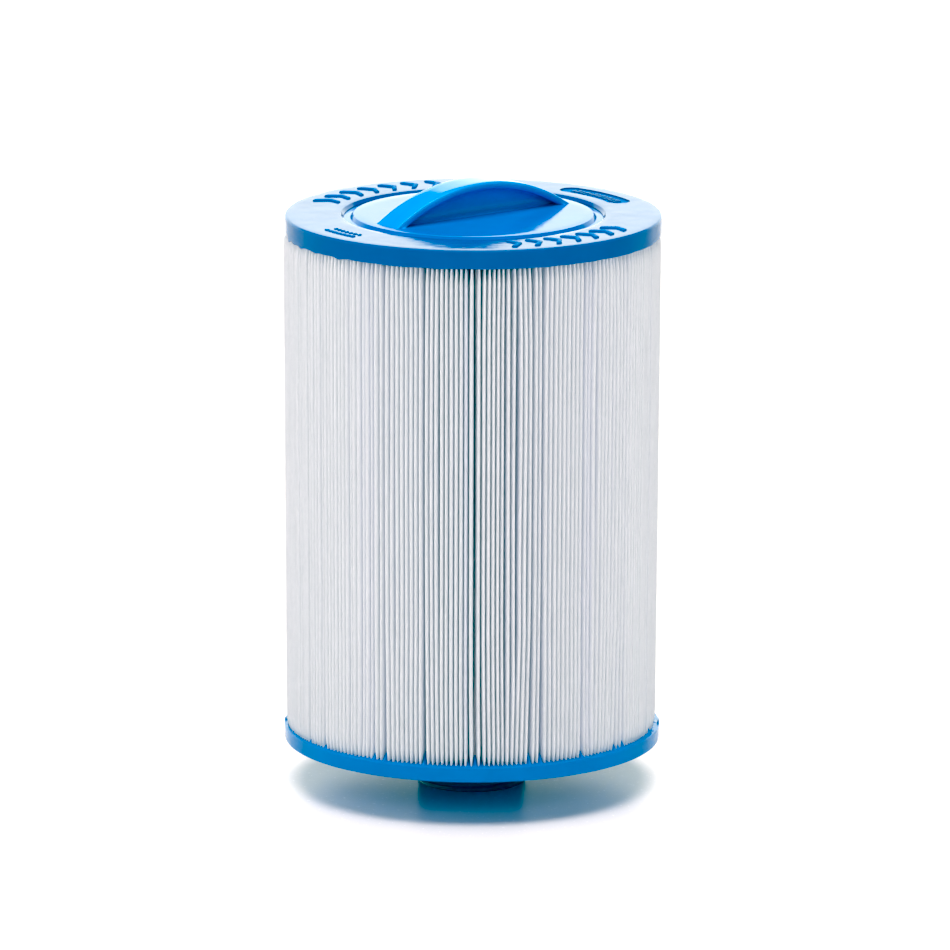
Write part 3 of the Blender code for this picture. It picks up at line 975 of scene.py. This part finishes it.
# threaded adapter: a male stub below the cap, a spigot for the core above it
adapter = {
    "steps": 240,
    "bore": 16.5 * mm,
    "root": 20.55 * mm,
    "crest": 21.85 * mm,
    "pitch": 4.5 * mm,
    "endRing": 1.9 * mm,
    "endRingRadius": 21.6 * mm,
    "chamfer": 0.35 * mm,
    "flange": 36.0 * mm,
    "flangeRim": 42.0 * mm,
    "lip": 1.3 * mm,
    "flangeTop": 2.7 * mm,
    "spigot": 23.2 * mm,
    "spigotWall": 3.0 * mm,
    "softEdge": 0.5 * mm,
    "flangeEdge": 0.3 * mm,
    "faceMiddle": 28.0 * mm,
    "neck": 0.8 * mm,
    "runOut": (3.4 * mm, 1.4 * mm),  # below the flange, where the thread fades out
    "ringStep": 0.4 * mm,
    "threadRows": 84,
}


def makeAdapter():
    s = adapter
    top, base = adapterHigh.z, baseLevel
    root, bore, spigot = s["root"], s["bore"], s["spigot"]
    spigotBore = spigot - s["spigotWall"]
    shelf, lip = base + s["flangeTop"], base + s["lip"]
    soft, small, neck = s["softEdge"], s["flangeEdge"], s["neck"]
    profile = [(s["flangeRim"], shelf), (s["flangeRim"], lip), (s["flange"], lip)]
    profile += [(s["flange"], base + small), (s["flange"] - small, base), (s["faceMiddle"], base)]
    profile += arcPoints((root + neck, base - neck), neck, 90, 180, 4)
    first = len(profile)
    profile += between(profile[-1], (root, s["chamfer"]), s["threadRows"])
    last = len(profile)
    profile += [(s["endRingRadius"] - s["chamfer"], 0.0), (bore + soft, 0.0), (bore, soft)]
    profile += between(profile[-1], (bore, shelf), 4)
    profile += [(spigotBore, shelf + s["spigotWall"]), (spigotBore, top), (spigot - soft, top)]
    profile += [(spigot, top - soft), (spigot, shelf)]

    def bend(number, r, z, turn):
        if first <= number < last:
            phase = (z / s["pitch"] - turn / tau) % 1.0
            away = np.abs(phase - 0.5) * 2  # 0 on the crest, 1 in the root
            ridge = 1 - smoothStep(0.22, 0.80, away)
            inside = 1 - smoothStep(base - s["runOut"][0], base - s["runOut"][1], z)
            ring = 1 - smoothStep(s["endRing"] - s["ringStep"], s["endRing"], z)
            r = r + np.maximum((s["crest"] - root) * ridge * inside, (s["endRingRadius"] - root) * ring)
        return r, z

    stub = latheMesh("threadedAdapter", profile, s["steps"], True, bend)
    shadeSmooth(stub, 45)
    finishPiece(stub, adapterBlue, "adapter_plastic", "threaded_adapter")


makeAdapter()
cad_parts["core_tube"].data.materials.clear()
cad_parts["core_tube"].data.materials.append(corePlastic)
print("adapter and core ready")


# floor, light and camera
studio = {
    "horizon": (0.02, 0.045, 0.075),
    "zenith": (0.18, 0.18, 0.18),
    "sun": {"spread": 50, "strength": 4.0, "colour": (1.0, 0.925, 0.895)},
    "sheets": {  # seen only where the gloss mirrors them
        "size": (6.4, 2.1),
        "distance": 3.2,
        "height": 0.85,
        "colour": (1.0, 1.0, 0.84),
        "turns": {"back": 180, "west": -90, "east": 90, "front": 0},
        "radiance": {"back": 2.8, "west": 2.2, "east": 1.4, "front": 1.0},
    },
    "lamps": {
        "left": {"size": (1.6, 1.4), "turn": -66, "distance": 1.6, "height": 1.35, "radiance": 0.9},
        "right": {"size": (1.6, 1.4), "turn": 68, "distance": 1.7, "height": 1.35, "radiance": 0.04},
        "fill": {"size": (1.8, 1.0), "turn": 6, "distance": 2.4, "height": 1.35, "radiance": 2.7},
    },
    "lampAim": (0, 0, 0.15),
    "floorSize": 40,
    "floorLook": {"Base Color": (0.94, 0.95, 0.97, 1), "IOR": 1.22},
    "floorRough": (0.22, 0.28),
    "blackLevel": (0.083, 0.003, 0.0),  # takes red out of the shadows
}
view = {
    "turn": -38.0,
    "distance": 3.5185,
    "height": 0.9269,
    "tilt": 12.834,
    "pan": 0.0152,
    "roll": 0.17,
    "lens": 342.3,
    "sensor": 36.0,
}


def makeFloor():
    bpy.ops.mesh.primitive_plane_add(size=studio["floorSize"], location=(0, 0, 0))
    floor = bpy.context.object
    floor.name = "studioFloor"
    material, tree, shader = newMaterial("floorGloss", studio["floorLook"])
    coords = tree.nodes.new("ShaderNodeTexCoord")
    grain = noiseNode(tree, coords, 500, 3.0)
    rough = rangeNode(tree, grain.outputs["Fac"], 0.3, 0.7, *studio["floorRough"])
    tree.links.new(rough.outputs["Result"], shader.inputs["Roughness"])
    floor.data.materials.append(material)


def addArea(name, size, place, target, radiance):
    lamp = bpy.data.lights.new(name, "AREA")
    lamp.shape, lamp.size, lamp.size_y = "RECTANGLE", size[0], size[1]
    lamp.energy = radiance * math.pi * size[0] * size[1]
    obj = bpy.data.objects.new(name, lamp)
    scene.collection.objects.link(obj)
    obj.location = place
    obj.rotation_euler = (Vector(target) - Vector(place)).to_track_quat("-Z", "Y").to_euler()
    obj.visible_camera = False
    return obj


def aroundView(turn, distance, height):
    # a place round the cartridge, its turn counted from the camera's own side
    angle = math.radians(view["turn"] + turn)
    return (math.sin(angle) * distance, -math.cos(angle) * distance, height)


def makeLights():
    world = bpy.data.worlds.new("studioWorld")
    scene.world = world
    world.use_nodes = True
    tree = world.node_tree
    coords, parts = tree.nodes.new("ShaderNodeTexCoord"), tree.nodes.new("ShaderNodeSeparateXYZ")
    tree.links.new(coords.outputs["Generated"], parts.inputs["Vector"])
    stops = [(0.40, studio["horizon"]), (0.90, studio["zenith"])]
    sky = rampNode(tree, parts.outputs["Z"], stops)
    tree.links.new(sky.outputs["Color"], tree.nodes["Background"].inputs["Color"])
    lamp = bpy.data.lights.new("overhead", "SUN")
    lamp.angle, lamp.energy = math.radians(studio["sun"]["spread"]), studio["sun"]["strength"]
    lamp.color = studio["sun"]["colour"]
    scene.collection.objects.link(bpy.data.objects.new("overhead", lamp))
    s = studio["sheets"]
    for name, turn in s["turns"].items():
        place = aroundView(turn, s["distance"], s["height"])
        sheet = addArea(name + "Sheet", s["size"], place, (0, 0, s["height"]), s["radiance"][name])
        sheet.visible_diffuse, sheet.data.color = False, s["colour"]
    for name, box in studio["lamps"].items():
        place = aroundView(box["turn"], box["distance"], box["height"])
        addArea(name + "Lamp", box["size"], place, studio["lampAim"], box["radiance"])


def makeCamera():
    data = bpy.data.cameras.new("camera")
    camera = bpy.data.objects.new("camera", data)
    scene.collection.objects.link(camera)
    data.lens, data.sensor_width = view["lens"], view["sensor"]
    data.clip_start, data.clip_end = 0.1, 100.0
    turn = Matrix.Rotation(math.radians(view["turn"]), 4, "Z")
    place = Matrix.Translation((0, -view["distance"], view["height"]))
    pan = Matrix.Rotation(math.radians(-view["pan"]), 4, "Z")
    tilt = Matrix.Rotation(math.radians(90 - view["tilt"]), 4, "X")
    roll = Matrix.Rotation(math.radians(view["roll"]), 4, "Z")
    camera.matrix_world = turn @ place @ (pan @ tilt) @ roll
    scene.camera = camera


makeFloor()
makeLights()
makeCamera()
scene.view_settings.view_transform = "Standard"
scene.view_settings.look = "None"
scene.view_settings.use_curve_mapping = True
scene.view_settings.curve_mapping.black_level = studio["blackLevel"]
scene.view_settings.curve_mapping.update()
print("studio ready")
